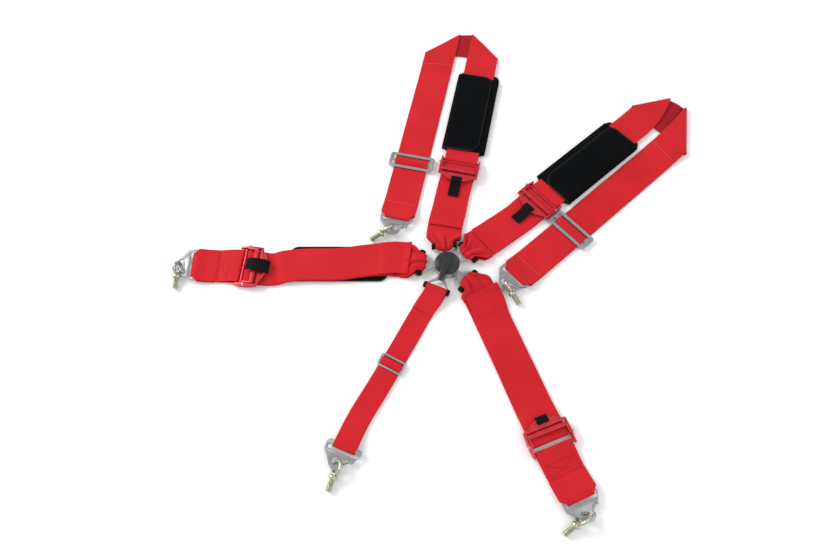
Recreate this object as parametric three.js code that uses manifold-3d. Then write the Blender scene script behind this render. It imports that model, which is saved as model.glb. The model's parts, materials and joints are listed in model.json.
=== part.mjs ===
// Five-point racing harness with a rotary buckle, laid out flat on the floor.
// Millimetres, +Z up. The origin is the centre of the buckle's back face, on the floor.
import * as THREE from 'three';
import { mergeVertices } from 'three/addons/utils/BufferGeometryUtils.js';
import Module from 'manifold-3d';

const wasm = await Module();
wasm.setup();

// ---- driving dimensions -------------------------------------------------------------------
const WIDE = 76;            // 3 inch webbing
const NARROW = 46;          // crotch webbing, 2 inch class
const THICK = 2.2;          // one layer of webbing
const GAP = 0.35;           // clearance between pieces that touch
const LAYER = 1.5;          // height of the middle of a layer that lies on the floor
const SECOND = 4.3;         // height of the middle of a second layer on top of it
const PAD_THICK = 5;        // shoulder and lap pad panels
const OVER_PAD = 6.9;       // middle of a webbing layer that lies on a pad panel

const BUCKLE = { plateR: 24.5, wallR: 24, boreR: 20.5, knobR: 26.5, top: 34, shaftR: 5 };
const TONGUE = { z: 8.3, thick: 3, neck: 16, tip: 10, pinAt: 17.5, slack: 2.9, arm: 4.5, guideR: 4.6 };
const BAR_Z = TONGUE.z + TONGUE.thick / 2;

const ADJUSTER = { wide: 90, flange: 3.2, high: 19, back: -27, front: 24, barZ: 9.2, barR: 3.4, outer: 18 };
const HOOK = { z: 9, thick: 3 };
const PAD = { half: 46, beyond: 3, short: 12, baseZ: 0.1, flapZ: 11.2, flapThick: 4, nearGap: 2, farGap: 16,
  baseCorner: 12, flapCorner: 16 };
const EYE = { ringR: 12.4, wireR: 3.8, flangeR: 9, shankR: 5.55, shankLong: 24 };

const RED_WEB = { color: 0xc8262e, roughness: 0.75, metalness: 0 };
const RED_METAL = { color: 0xd8484c, roughness: 0.35, metalness: 0.6 };
const STEEL = { color: 0xc8ccd0, roughness: 0.35, metalness: 0.9 };
const BRIGHT_ZINC = { color: 0xd4d8da, roughness: 0.3, metalness: 0.9 };
const YELLOW_ZINC = { color: 0xc9bd86, roughness: 0.3, metalness: 0.9 };
const BLACK_PLASTIC = { color: 0x17181a, roughness: 0.5, metalness: 0 };
const BLACK_FABRIC = { color: 0x121416, roughness: 0.9, metalness: 0 };

const harness = new THREE.Group();
const rad = THREE.MathUtils.degToRad;

// ---- solids and booleans ------------------------------------------------------------------
function toManifold(geometry) {
  const bare = (geometry.index ? geometry.toNonIndexed() : geometry).clone();
  bare.deleteAttribute('normal');
  bare.deleteAttribute('uv');
  const merged = mergeVertices(bare, 1e-4);
  return new wasm.Manifold(new wasm.Mesh({
    numProp: 3,
    vertProperties: new Float32Array(merged.attributes.position.array),
    triVerts: new Uint32Array(merged.index.array),
  }));
}

function toGeometry(manifold) {
  const mesh = manifold.getMesh();
  const geometry = new THREE.BufferGeometry();
  geometry.setAttribute('position', new THREE.BufferAttribute(new Float32Array(mesh.vertProperties), 3));
  geometry.setIndex(new THREE.BufferAttribute(new Uint32Array(mesh.triVerts), 1));
  geometry.computeVertexNormals();
  return geometry;
}

const join = (first, ...rest) =>
  toGeometry(rest.reduce((sum, g) => sum.add(toManifold(g)), toManifold(first)));
const cut = (first, ...rest) =>
  toGeometry(rest.reduce((sum, g) => sum.subtract(toManifold(g)), toManifold(first)));

function piece(name, geometry, finish, parent = harness) {
  const mesh = new THREE.Mesh(geometry, new THREE.MeshStandardMaterial(finish));
  mesh.name = name;
  parent.add(mesh);
  return mesh;
}

/** A group whose +X points along `heading` degrees, at x, y. */
function frameAt(x, y, heading, z = 0) {
  const group = new THREE.Group();
  group.position.set(x, y, z);
  group.rotation.z = rad(heading);
  harness.add(group);
  return group;
}

// ---- plain shapes -------------------------------------------------------------------------
function plate(points, z, thick, holes = []) {
  const shape = new THREE.Shape(points.map(([x, y]) => new THREE.Vector2(x, y)));
  shape.holes = holes.map((hole) => new THREE.Path(hole.map(([x, y]) => new THREE.Vector2(x, y))));
  return new THREE.ExtrudeGeometry(shape, { depth: thick, bevelEnabled: false }).translate(0, 0, z);
}

/** Points of an arc from one angle to another, in degrees. */
function arc(x, y, r, from, to, steps) {
  return Array.from({ length: steps + 1 }, (_, i) => {
    const a = rad(from + (to - from) * i / steps);
    return [x + r * Math.cos(a), y + r * Math.sin(a)];
  });
}

function roundedBox(x0, x1, y0, y1, r, steps = 3) {
  return [
    ...arc(x1 - r, y1 - r, r, 0, 90, steps), ...arc(x0 + r, y1 - r, r, 90, 180, steps),
    ...arc(x0 + r, y0 + r, r, 180, 270, steps), ...arc(x1 - r, y0 + r, r, 270, 360, steps),
  ];
}

const block = (x0, x1, y0, y1, z0, z1) => new THREE.BoxGeometry(x1 - x0, y1 - y0, z1 - z0)
  .translate((x0 + x1) / 2, (y0 + y1) / 2, (z0 + z1) / 2);

const disc = (r, z0, z1, sides = 32) => new THREE.CylinderGeometry(r, r, z1 - z0, sides)
  .rotateX(Math.PI / 2).translate(0, 0, (z0 + z1) / 2);

/** A round bar across the webbing, along Y. */
const crossBar = (r, x, z, half, sides = 12) => new THREE.CylinderGeometry(r, r, 2 * half, sides)
  .translate(x, 0, z);

const lathe = (profile, sides = 40) => new THREE.LatheGeometry(
  profile.map(([r, z]) => new THREE.Vector2(r, z)), sides).rotateX(Math.PI / 2);

// ---- webbing ------------------------------------------------------------------------------
/** Where a strap runs over the floor: a position and a sideways direction at each distance. */
class Route {
  constructor(points) {
    const spots = points.map(([x, y]) => new THREE.Vector3(x, y, 0));
    this.curve = new THREE.CatmullRomCurve3(spots, false, 'centripetal');
    this.curve.arcLengthDivisions = 400;
    this.length = this.curve.getLength();
  }

  at(s) {
    const t = THREE.MathUtils.clamp(s / this.length, 0, 1);
    const along = this.curve.getTangentAt(t);
    const point = this.curve.getPointAt(t).addScaledVector(along, s - t * this.length);
    return { point, along, heading: THREE.MathUtils.radToDeg(Math.atan2(along.y, along.x)) };
  }
}

/** Outline of a bent strip: both sides of a centre line of [distance, height] points. */
function stripOutline(path, thick) {
  const sides = [[], []];
  path.forEach(([s, z], i) => {
    const [s0, z0] = path[Math.max(i - 1, 0)];
    const [s1, z1] = path[Math.min(i + 1, path.length - 1)];
    const before = Math.atan2(z - z0, s - s0);
    const after = Math.atan2(z1 - z, s1 - s);
    const a = i === 0 ? after : i === path.length - 1 ? before
      : Math.atan2(Math.sin(before) + Math.sin(after), Math.cos(before) + Math.cos(after));
    const reach = thick / 2 / Math.max(Math.cos(a - (i === 0 ? after : before)), 0.6);
    sides[0].push([s - reach * Math.sin(a), z + reach * Math.cos(a)]);
    sides[1].unshift([s + reach * Math.sin(a), z - reach * Math.cos(a)]);
  });
  return [...sides[0], ...sides[1]];
}

/** Adds points to the centre line so that no straight stretch is longer than `step`. */
function divide(path, step) {
  const fine = [path[0]];
  path.slice(1).forEach(([s1, z1], i) => {
    const [s0, z0] = path[i];
    const parts = Math.max(1, Math.ceil(Math.hypot(s1 - s0, z1 - z0) / step));
    for (let k = 1; k <= parts; k += 1) fine.push([s0 + (s1 - s0) * k / parts, z0 + (z1 - z0) * k / parts]);
  });
  return fine;
}

/** Webbing: a strip bent up and down along `path`, `width(s)` wide, laid along a route. */
function webbing({ path, width, route, step = 400, thick = THICK }) {
  const outline = stripOutline(divide(path, step), thick);
  const shape = new THREE.Shape(outline.map(([s, z]) => new THREE.Vector2(s, z)));
  const geometry = new THREE.ExtrudeGeometry(shape, { depth: 1, bevelEnabled: false })
    .rotateX(Math.PI / 2).translate(0, 0.5, 0);
  const position = geometry.attributes.position;
  for (let i = 0; i < position.count; i += 1) {
    const s = position.getX(i);
    const side = position.getY(i) * width(s);
    const { point, along } = route.at(s);
    position.setXY(i, point.x - side * along.y, point.y + side * along.x);
  }
  return geometry;
}

/** Width that changes smoothly from one value to another between two distances. */
const taper = (s0, w0, s1, w1) => (s) => w0 + (w1 - w0) * THREE.MathUtils.smoothstep(s, s0, s1);

/** Webbing round a bar of radius r at s, z, seen from the side; angles in degrees. */
const roundBar = (s, z, r, from, to, steps = 5) => arc(s, z, r + GAP + THICK / 2, from, to, steps);

// ---- buckle -------------------------------------------------------------------------------
const BELTS = {
  shoulder_left: { heading: 95.2, reach: 51, span: 54 },
  shoulder_right: { heading: 37.2, reach: 58, span: 55 },
  lap_left: { heading: 170.2, reach: 57, span: 58 },
  lap_right: { heading: -37.8, reach: 56, span: 58 },
  crotch: { heading: -113.8, reach: 57, span: 58 },
};

function buckle() {
  const { plateR, wallR, boreR, knobR, top, shaftR } = BUCKLE;
  piece('buckle_back_plate', join(disc(plateR, 0, 3.2, 40), disc(boreR - GAP, 3, 8)), STEEL);

  const shell = lathe([[wallR, 3.5], [wallR, 22], [shaftR + 0.6, 22], [shaftR + 0.6, 19.6], [boreR, 19.6],
    [boreR, 3.5], [wallR, 3.5]]);
  const slots = Object.values(BELTS).map(({ heading }) =>
    block(boreR - 6, wallR + 4, -TONGUE.neck / 2 - 0.6, TONGUE.neck / 2 + 0.6, 7.95, 11.7)
      .rotateZ(rad(heading)));
  piece('buckle_housing', cut(shell, ...slots), STEEL);

  const pins = Object.values(BELTS).map(({ heading }) =>
    disc(2.2, TONGUE.z + 2.1, 14, 10).translate(TONGUE.pinAt, 0, 0).rotateZ(rad(heading)));
  piece('latch_plate', join(disc(19.6, 13.6, 15.6), ...pins), STEEL);

  const turns = 2.5;
  const coil = new THREE.CatmullRomCurve3(Array.from({ length: 31 }, (_, i) => {
    const a = 2 * Math.PI * turns * i / 30;
    return new THREE.Vector3(8.6 * Math.cos(a), 8.6 * Math.sin(a), 22.9 + 2.8 * i / 30);
  }));
  const wire = new THREE.Shape(arc(0, 0, 0.45, 0, 315, 7).map(([x, y]) => new THREE.Vector2(x, y)));
  const settings = { steps: 50, extrudePath: coil, bevelEnabled: false };
  piece('knob_spring', new THREE.ExtrudeGeometry(wire, settings), STEEL);

  const knob = lathe([[0, 19.9], [shaftR, 19.9], [shaftR, 26.6], [12, 26.6], [12, 22.4], [knobR - 1, 22.4],
    [knobR, 23.4], [knobR, top - 4], [knobR - 1.2, top - 1.6], [knobR - 3.5, top - 0.4], [0, top]]);
  const lever = plate([[0, -8.5], [20, -7.5], [knobR, -6.5], [40, -5], [44, -3], [45, 0], [44, 3], [40, 5],
    [knobR, 6.5], [20, 7.5], [0, 8.5]], 29, 7).rotateZ(rad(-112));
  piece('release_knob', join(knob, lever), BLACK_PLASTIC);
}

/** Steel tongue, pointing out along its heading: tip in the buckle, crossbar in the webbing. */
function tongue(belt) {
  const { heading, reach, span } = BELTS[belt];
  const half = span / 2;
  const n = TONGUE.neck / 2;
  const side = [[TONGUE.tip, 4], [12, 5.6], [18, n], [28, n], [32, n + 1.2], [36, n + 4.4],
    [reach - 11, half - 8], [reach - 6.5, half - 3], [reach - 2.5, half], [reach + 3, half]];
  const outline = [...side.map(([x, y]) => [x, -y]), ...side.reverse()];
  const arm = TONGUE.arm;
  const free = half - arm;
  const innerSide = [[36, 3], [reach - 11, free - 9], [reach - 6.5, free - 3.5], [reach - 3, free]];
  const inner = [...innerSide, ...innerSide.map(([x, y]) => [x, -y]).reverse()];
  // The latch slot is longer than the pin, so the tongue can start to move while the pin lifts.
  const { pinAt, slack } = TONGUE;
  const pinHole = [...arc(pinAt, 0, 2.7, -90, 90, 5), ...arc(pinAt - slack, 0, 2.7, 90, 270, 5)];
  const group = frameAt(0, 0, heading);
  piece(`tongue_${belt}`, plate(outline, TONGUE.z, TONGUE.thick, [inner, pinHole]), STEEL, group);

  // The guide is a sleeve round the crossbar, with a slot that the flat bar runs through.
  const slot = block(reach - 3 - GAP, reach + 3 + GAP, -half, half,
    TONGUE.z - GAP, TONGUE.z + TONGUE.thick + GAP);
  piece(`webbing_guide_${belt}`, cut(crossBar(TONGUE.guideR, reach, BAR_Z, half - arm - 2, 16), slot),
    BLACK_PLASTIC, group);
}

/** Webbing sewn round the tongue's crossbar, ending on the floor. */
const TONGUE_LOOP = [
  [40, LAYER], [14, 4], ...roundBar(0, BAR_Z, TONGUE.guideR, 265, 95, 7), [12, 13.8], [45, 5],
];

// ---- adjuster -----------------------------------------------------------------------------
/** Lift-to-loosen adjuster: the belt wraps the inner bar at the frame's origin. */
function adjuster(belt, { point, heading }, loop) {
  const { wide, flange, high, back, front, barZ, barR, outer } = ADJUSTER;
  const group = frameAt(point.x, point.y, heading);
  const half = wide / 2;
  const side = [[back, 12], [back + 3, 7], [-12, 2.2], [-6, 1], [6, 1], [12, 1.6], [front - 3, 4.5], [front, 9],
    [front - 1, 13], [12, high - 3], [4, high], [-8, high], [back, high - 2]];
  const flangeAt = (y) => new THREE.ExtrudeGeometry(
    new THREE.Shape(side.map(([x, z]) => new THREE.Vector2(x, z))), { depth: flange, bevelEnabled: false })
    .rotateX(Math.PI / 2).translate(0, y + flange, 0);
  const tab = plate([[back + 4, -half], [back - 1, 2 - half], ...arc(back + 38, 0, 54, 222, 138, 24),
    [back - 1, half - 2], [back + 4, half]], 14.2, 2.8,
  [roundedBox(back - 10, back - 6, -13, 13, 1.5, 2)]);
  piece(`adjuster_frame_${belt}`, join(flangeAt(-half), flangeAt(half - flange), tab,
    crossBar(barR, 0, barZ, half - 1), crossBar(3, outer, 8, half - 1)), RED_METAL, group);

  const reach = half - flange - 0.5;
  const arm = 3.4;
  piece(`lock_bar_${belt}`, join(
    block(-19, -11, -reach, reach, 17.6, 20.6),
    block(-19, 4.5, -reach, arm - reach, 16.6, 20),
    block(-19, 4.5, reach - arm, reach, 16.6, 20),
  ), RED_METAL, group);

  const start = back - 4.4;
  const path = {
    hanging: [[start, 18.6], [back - 16.6, 18.4], [back - 18.4, 16], [back - 24, 10.5], [back - 52, 8.2]],
    rolled: [[start, 18.6], [back - 16.6, 18.4], [back - 18.6, 16], [back - 18.6, 13.4], [back - 16.5, 12],
      [back - 10, 12]],
    folded_back: [[back - 10, 12], [back - 16.5, 12], [back - 18.8, 14], [back - 18, 18], [back - 12, 23],
      [-24, 27.6], [-12, 28.4], [-3, 26], [1, 23.5]],
  }[loop];
  const straight = new Route([[0, 0], [1, 0]]);
  const tape = webbing({ path, width: () => 24, route: straight, thick: 2 });
  piece(`pull_loop_${belt}`, tape, BLACK_FABRIC, group);
}

/** Path of the belt between the tongue's crossbar (s = 0) and the adjuster's bar (s = length). */
function adjustedPath(length, low, high) {
  const { barZ, barR } = ADJUSTER;
  return [
    ...TONGUE_LOOP, ...low, [length - 24, 3.4], ...roundBar(length, barZ, barR, -90, 90, 7),
    [length - 12, 13], [length - 30, 9.6], ...high,
  ];
}

// ---- anchor -------------------------------------------------------------------------------
const EYE_POSES = {
  shoulder_left: { centre: [30.52, -12.09, 15.75], roll: 72.9, dip: 13, swing: -48 },
  shoulder_right: { centre: [26.14, 7.98, 15.61], roll: -70.1, dip: 12.8, swing: 79.5 },
  lap_left: { centre: [26.15, 10.62, 15.92], roll: -73.9, dip: 13.3, swing: 87.1 },
  lap_right: { centre: [28.08, -14.75, 14.7], roll: 59.9, dip: 11.1, swing: -77 },
  crotch: { centre: [32.37, 2.69, 13.35], roll: 48.9, dip: 8.9, swing: 3.4 },
};

/** Clip-in hook plate with its gate and eye bolt; the webbing's end bends at the origin. */
function anchor(belt, x, y, heading) {
  const pose = EYE_POSES[belt];
  const { z, thick } = HOOK;
  const group = frameAt(x, y, heading);
  const outline = [[-14, -33], [-8, -37], [8, -36], [22, -22.5], [33, -14], [38.5, -6], [38.5, 4], [34, 10.5],
    [27, 13.5], [25.5, 11], [25.5, 8], [28.5, 4], [28.5, -6], [25, -12], [17, -13], [13, -9], [12.5, 9],
    [10.2, 13.5], [9.6, 17.5], [10.6, 20.6], [13, 22], [16.5, 22], [16, 26], [10, 28], [-6, 36], [-14, 33]];
  const slot = roundedBox(-4, 4, -31, 31, 3, 2);
  piece(`hook_plate_${belt}`, plate(outline, z, thick, [slot]), BRIGHT_ZINC, group);

  const gate = [[11.6, 15], [12.5, 13.8], [22.8, 7.2], [24.7, 8.6], [24.7, 10.6], [16.5, 18.6], [15, 20],
    [12.5, 20], [11, 18]];
  piece(`hook_gate_${belt}`, plate(gate, z + 0.3, thick - 0.6), BRIGHT_ZINC, group);

  const { ringR, wireR, flangeR, shankR, shankLong } = EYE;
  const ring = new THREE.LatheGeometry(
    arc(ringR, 0, wireR, 0, 360, 10).map(([r, h]) => new THREE.Vector2(r, h)), 30).rotateX(Math.PI / 2);
  const collarAt = ringR + wireR - 1;
  const shank = new THREE.LatheGeometry([[0, collarAt - 1], [flangeR - 2, collarAt - 1],
    [flangeR, collarAt + 1], [flangeR, collarAt + 6], [shankR, collarAt + 6],
    [shankR, collarAt + 5 + shankLong], [0, collarAt + 6 + shankLong]]
    .map(([r, h]) => new THREE.Vector2(r, h)), 16).rotateZ(-Math.PI / 2);
  const eye = new THREE.Group();
  eye.position.set(...pose.centre);
  eye.rotation.set(rad(pose.roll), rad(pose.dip), rad(pose.swing), 'ZYX');
  group.add(eye);
  piece(`eye_bolt_${belt}`, join(ring, shank), YELLOW_ZINC, eye);
}

/** Path of webbing that arrives on top at s = length, goes round the hook's bar and returns below. */
const hookLoop = (length, back, top = SECOND) => [
  [length - 62, top], [length - 32, 8.6], [length - 14, 13.8], [length - 4.5, 13.8],
  [length - 2.2, 12.2], [length - 2.2, 8.8], [length - 4.5, 7.2], [length - 14, 7.2],
  [length - 34, 3.6], [length - 52, LAYER], [back, LAYER],
];

/** Three-bar slide, its middle bar across the origin. */
function slide(name, point, heading, { wide, long, rail, side, bar }) {
  const group = frameAt(point.x, point.y, heading);
  const outline = roundedBox(-long / 2, long / 2, -wide / 2, wide / 2, 6, 3);
  const window = (x0, x1) => roundedBox(x0, x1, side - wide / 2, wide / 2 - side, 1.5, 1);
  const windows = [window(rail - long / 2, -bar), window(bar, long / 2 - rail)];
  piece(name, plate(outline, 5.9, 3, windows), STEEL, group);
}

/** The rise of a webbing layer over a slide's middle bar, between its two rails. */
const overSlide = (s, { long, rail, bar }, low, high) => [
  [s - long / 2 - 6, low], [s - long / 2 + rail + 0.5, Math.max(low, 3.6)], [s - bar - 1, 10.5],
  [s + bar + 1, 10.5], [s + long / 2 - rail - 0.5, high], [s + long / 2 + 6, high]];

const REAR_SLIDE = { wide: 104, long: 40, rail: 7, side: 7, bar: 2.6 };
const CROTCH_SLIDE = { wide: 54, long: 29, rail: 4.2, side: 3.4, bar: 2 };

// ---- build --------------------------------------------------------------------------------
buckle();
Object.keys(BELTS).forEach(tongue);

/** Webbing is drawn in between the tongue's arms and is at full width a little way out. */
const drawnIn = (belt, full = WIDE) => taper(2, BELTS[belt].span - 2 * TONGUE.arm - 10, 24, full);

/** Wide webbing folds its corners in to pass the hook's slot. */
const hookEnd = (length) => taper(length - 16, WIDE, length - 4, 56);

/** Route that leaves the tongue's crossbar straight, then passes through the points. */
function routeFromTongue(belt, points) {
  const { heading, reach } = BELTS[belt];
  const along = (r) => [r * Math.cos(rad(heading)), r * Math.sin(rad(heading))];
  return new Route([along(reach), along(reach + 14), ...points]);
}

/** Shoulder belt below the adjuster: tongue, adjuster, loose tail. */
function lowerBelt(belt, points, tail) {
  const route = routeFromTongue(belt, points);
  piece(`${belt}_lower_belt`, webbing({
    path: adjustedPath(route.length, [[60, LAYER], [route.length - 60, LAYER]],
      [[route.length - 62, SECOND], ...tail]),
    route, step: 22, width: drawnIn(belt),
  }), RED_WEB);
  return route.at(route.length);
}

/** Shoulder belt above the adjuster: pad stretch, folded top, rear strap with slide, hook. */
function upperBelt(belt, end, { top, rearTop, rearEnd, lean, slideAt, frontTip, rearTip }) {
  const away = new THREE.Vector3(Math.cos(rad(end.heading)), Math.sin(rad(end.heading)), 0);
  const start = end.point.clone().addScaledVector(away, ADJUSTER.outer);
  const past = start.clone().addScaledVector(away, 22);
  const front = new Route([[start.x, start.y], [past.x, past.y], top]);
  const rear = new Route([rearTop, rearEnd]);
  const L = front.length;
  const frontLeg = webbing({
    path: [[58, OVER_PAD], [18, OVER_PAD - 0.2], ...roundBar(0, 8, 3, 270, 90, 6), [14, 11.4], [26, 9.6],
      [64, 9.6], [84, OVER_PAD], [L - 20, OVER_PAD], [L - 8, SECOND - 0.1], [L, SECOND - 0.1]],
    route: front, width: () => WIDE, step: 60,
  });
  const R = rear.length;
  const rearLeg = webbing({
    path: [[0, SECOND - 0.1], [36, SECOND - 0.1], [60, LAYER], ...overSlide(slideAt, REAR_SLIDE, LAYER, SECOND),
      ...hookLoop(R, slideAt + 26)],
    route: rear, width: hookEnd(R), step: 60,
  });
  // The top is folded twice on the diagonal: its middle runs below both legs. Each tip is given by
  // how far it lies past the end of its leg, and how far to the left.
  const edge = (route, s, side) => {
    const { point, along } = route.at(s);
    return [point.x - side * along.y, point.y + side * along.x];
  };
  const h = WIDE / 2;
  const frontPeak = edge(front, L + frontTip[0], frontTip[1]);
  const frontCorner = edge(front, L - 2, -h * lean);
  const rearPeak = edge(rear, -rearTip[0], rearTip[1]);
  const rearCorner = edge(rear, 2, -h * lean);
  const frontStart = [edge(front, L - 2, h * lean), frontCorner, frontPeak];
  const rearStart = [edge(rear, 2, h * lean), rearCorner, rearPeak];
  const wind = (pts) => (lean > 0 ? pts : [...pts].reverse());
  const legZ = SECOND - 0.1 - THICK / 2;
  const middle = plate(wind([frontCorner, frontPeak, rearPeak, rearCorner]), 0.4, legZ - 0.2);
  piece(`${belt}_upper_belt`, join(frontLeg, plate(wind(frontStart), legZ, THICK),
    plate(wind(rearStart), legZ, THICK), middle, rearLeg), RED_WEB);
  const slidePlace = rear.at(slideAt);
  slide(`rear_slide_${belt}`, slidePlace.point, slidePlace.heading, REAR_SLIDE);
  return { front, rear };
}

/** Shoulder pad: a panel below the strap and a flap above it, sewn together along one edge. */
function shoulderPad(belt, front, from, long, fold) {
  const { point, heading } = front.at(from);
  const group = frameAt(point.x, point.y, heading);
  const { half, beyond, short, baseZ, flapZ, flapThick, nearGap, farGap, baseCorner, flapCorner } = PAD;
  // `fold` is +1 where the sewn edge is on the left of the strap's heading, -1 on the right.
  const across = (sewn, free) => (fold > 0 ? [-free, sewn] : [-sewn, free]);
  const base = roundedBox(0, long, ...across(half, half + beyond), baseCorner);
  const flap = roundedBox(nearGap, long - farGap, ...across(half, half - short), flapCorner);
  piece(`${belt}_pad_base`, plate(base, baseZ, PAD_THICK), BLACK_FABRIC, group);
  piece(`${belt}_pad_flap`, plate(flap, flapZ, flapThick), BLACK_FABRIC, group);
}

const leftEnd = lowerBelt('shoulder_left', [
  [-4.5, 82], [-0.5, 108], [8.5, 145], [19.8, 198], [28, 228], [34.5, 257]],
  [[66, SECOND], [52, 6.4]]);
adjuster('shoulder_left', leftEnd, 'hanging');
const leftUpper = upperBelt('shoulder_left', leftEnd, {
  top: [104.3, 600], rearTop: [-3.5, 606], rearEnd: [-109, 117.5], lean: 1, slideAt: 340,
  frontTip: [69, 38], rearTip: [78, 38],
});
shoulderPad('shoulder_left', leftUpper.front, 27, 246, 1);
anchor('shoulder_left', -109, 117.5, -102.2);

const rightEnd = lowerBelt('shoulder_right', [
  [78, 60], [104, 80], [149.5, 114.5], [171, 132], [213, 168.6]],
  [[72, SECOND], [56, 5.6], [43, 8.5]]);
adjuster('shoulder_right', rightEnd, 'hanging');
const rightUpper = upperBelt('shoulder_right', rightEnd, {
  top: [486, 409], rearTop: [538, 327], rearEnd: [141.2, -25.9], lean: -1, slideAt: 352,
  frontTip: [85, -8], rearTip: [107, -48],
});
shoulderPad('shoulder_right', rightUpper.front, 21, 252, -1);
anchor('shoulder_right', 141.2, -25.9, -138.1);

// Lap belts: from the tongue to the adjuster, then the anchor strap to its hook.
function lapBelt(belt, points, anchorAt, loop, low, high) {
  const route = routeFromTongue(belt, points);
  piece(`${belt}_belt`, webbing({
    path: adjustedPath(route.length, low, high), route, step: 22, width: drawnIn(belt),
  }), RED_WEB);
  const end = route.at(route.length);
  adjuster(belt, end, loop);
  const away = new THREE.Vector3(Math.cos(rad(end.heading)), Math.sin(rad(end.heading)), 0);
  const strapStart = end.point.clone().addScaledVector(away, ADJUSTER.outer);
  const past = strapStart.clone().addScaledVector(away, 22);
  const strap = new Route([[strapStart.x, strapStart.y], [past.x, past.y], anchorAt]);
  const L = strap.length;
  piece(`${belt}_anchor_strap`, webbing({
    path: [[44, LAYER + 0.1], [14, 3], ...roundBar(0, 8, 3, 270, 90, 6), [14, 11], [48, SECOND],
      ...hookLoop(L, 52)],
    route: strap, width: hookEnd(L), step: 60,
  }), RED_WEB);
  const last = strap.at(L);
  anchor(belt, last.point.x, last.point.y, last.heading);
}

const lapPad = { from: -340, to: -126, low: -31, high: 52 };
const ABOVE_PAD = 9.9;
lapBelt('lap_left', [
  [-90, 14.8], [-108, 17], [-165, 16], [-229, 7], [-315, 5], [-345, 1.5], [-380, -4], [-425, 0]],
  [-547, 3.9], 'folded_back', [[52, LAYER + 0.6], [70, OVER_PAD], [292, OVER_PAD], [312, 2]],
  [[312, 5.4], [294, ABOVE_PAD], [40, ABOVE_PAD + 1], [24, 13.6]]);
lapBelt('lap_right', [[74, -75], [92.6, -121], [126.6, -208], [158, -291], [188.5, -369]],
  [236.9, -482.8], 'rolled', [[60, LAYER], [300, LAYER]],
  [[300, SECOND], [78, SECOND], [43, 8.6], [33, 11.2]]);
const lapPanel = roundedBox(lapPad.from, lapPad.to, lapPad.low, lapPad.high, 20, 4);
piece('lap_pad', plate(lapPanel, PAD.baseZ, PAD_THICK), BLACK_FABRIC);

// Crotch belt: one strap with a small slide near its middle; its end at the tongue is sewn down on top.
const crotchRoute = routeFromTongue('crotch', [
  [-49, -95.5], [-85.8, -163], [-141, -264], [-180, -333], [-205, -392.6]]);
const crotchSlide = 190;
piece('crotch_belt', webbing({
  path: [[58, SECOND], ...[...TONGUE_LOOP].reverse(), [64, LAYER],
    ...overSlide(crotchSlide, CROTCH_SLIDE, LAYER, SECOND),
    ...hookLoop(crotchRoute.length, crotchSlide + 18)],
  route: crotchRoute, width: drawnIn('crotch', NARROW), step: 30,
}), RED_WEB);
const crotchAt = crotchRoute.at(crotchSlide);
slide('crotch_slide', crotchAt.point, crotchAt.heading, CROTCH_SLIDE);
const crotchEnd = crotchRoute.at(crotchRoute.length);
anchor('crotch', crotchEnd.point.x, crotchEnd.point.y, crotchEnd.heading);

export default harness;
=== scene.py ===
"""Five-point racing harness laid out flat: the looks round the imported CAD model.

Blender works in metres. Sizes below are in millimetres, as in the CAD model, and are scaled once,
when a mesh is made.
"""
import json
import math

import bmesh
import bpy
import numpy as np
from mathutils import Matrix, Vector


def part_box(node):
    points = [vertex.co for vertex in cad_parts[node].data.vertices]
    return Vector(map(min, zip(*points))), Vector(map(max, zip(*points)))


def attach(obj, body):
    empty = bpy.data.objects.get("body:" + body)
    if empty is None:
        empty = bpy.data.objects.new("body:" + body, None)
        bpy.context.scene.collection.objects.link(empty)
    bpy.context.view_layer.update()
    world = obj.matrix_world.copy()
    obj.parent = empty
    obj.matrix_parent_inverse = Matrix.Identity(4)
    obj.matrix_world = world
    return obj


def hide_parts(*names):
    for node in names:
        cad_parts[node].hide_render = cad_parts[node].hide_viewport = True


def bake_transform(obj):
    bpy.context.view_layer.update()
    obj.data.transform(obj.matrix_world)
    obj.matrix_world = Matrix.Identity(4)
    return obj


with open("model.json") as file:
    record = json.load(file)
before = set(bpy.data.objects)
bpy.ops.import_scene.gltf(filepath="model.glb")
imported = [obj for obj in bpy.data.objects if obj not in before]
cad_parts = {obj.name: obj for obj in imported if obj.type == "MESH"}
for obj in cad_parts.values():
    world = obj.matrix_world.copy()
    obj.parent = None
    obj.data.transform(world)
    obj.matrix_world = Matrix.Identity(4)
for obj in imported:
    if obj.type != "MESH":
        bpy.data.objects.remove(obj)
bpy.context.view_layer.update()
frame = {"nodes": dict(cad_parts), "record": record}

MM = 0.001
RECORD = frame["record"]
JOINTS = {joint["name"]: joint for joint in RECORD["behaviour"]["joints"]}
MOUNTS = {mount["name"]: mount for mount in RECORD["mounts"]}
BODY_OF = {node: body for body, nodes in RECORD["behaviour"]["bodies"].items() for node in nodes}

# ---- driving dimensions, as in the CAD model ------------------------------------------------
WIDE = 76.0
NARROW = 46.0
GAP = 0.35
CAD_THICK = 2.2
THICK = 2.0                 # webbing as it is shown: a little thinner than its CAD solid
LAYER = 1.5
SECOND = 4.3
OVER_PAD = 6.9
ABOVE_PAD = 9.9
TONGUE = {"z": 8.3, "thick": 3.0, "arm": 4.5, "guide_r": 4.6}
BAR_Z = TONGUE["z"] + TONGUE["thick"] / 2
ADJUSTER = {"wide": 90.0, "flange": 3.2, "back": -27.0, "bar_z": 9.2, "bar_r": 3.4, "outer": 18.0}
EYE = {"ring_r": 12.4, "wire_r": 3.8, "flange_r": 9.0, "shank_r": 5.55, "shank_long": 24.0}
REAR_SLIDE = {"long": 40.0, "rail": 7.0, "bar": 2.6}
CROTCH_SLIDE = {"long": 29.0, "rail": 4.2, "bar": 2.0}
BUCKLE = {"knob_r": 26.5, "under": 22.4, "top": 34.0, "shaft_r": 5.0}
LEVER_HEADING = -112.0
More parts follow.
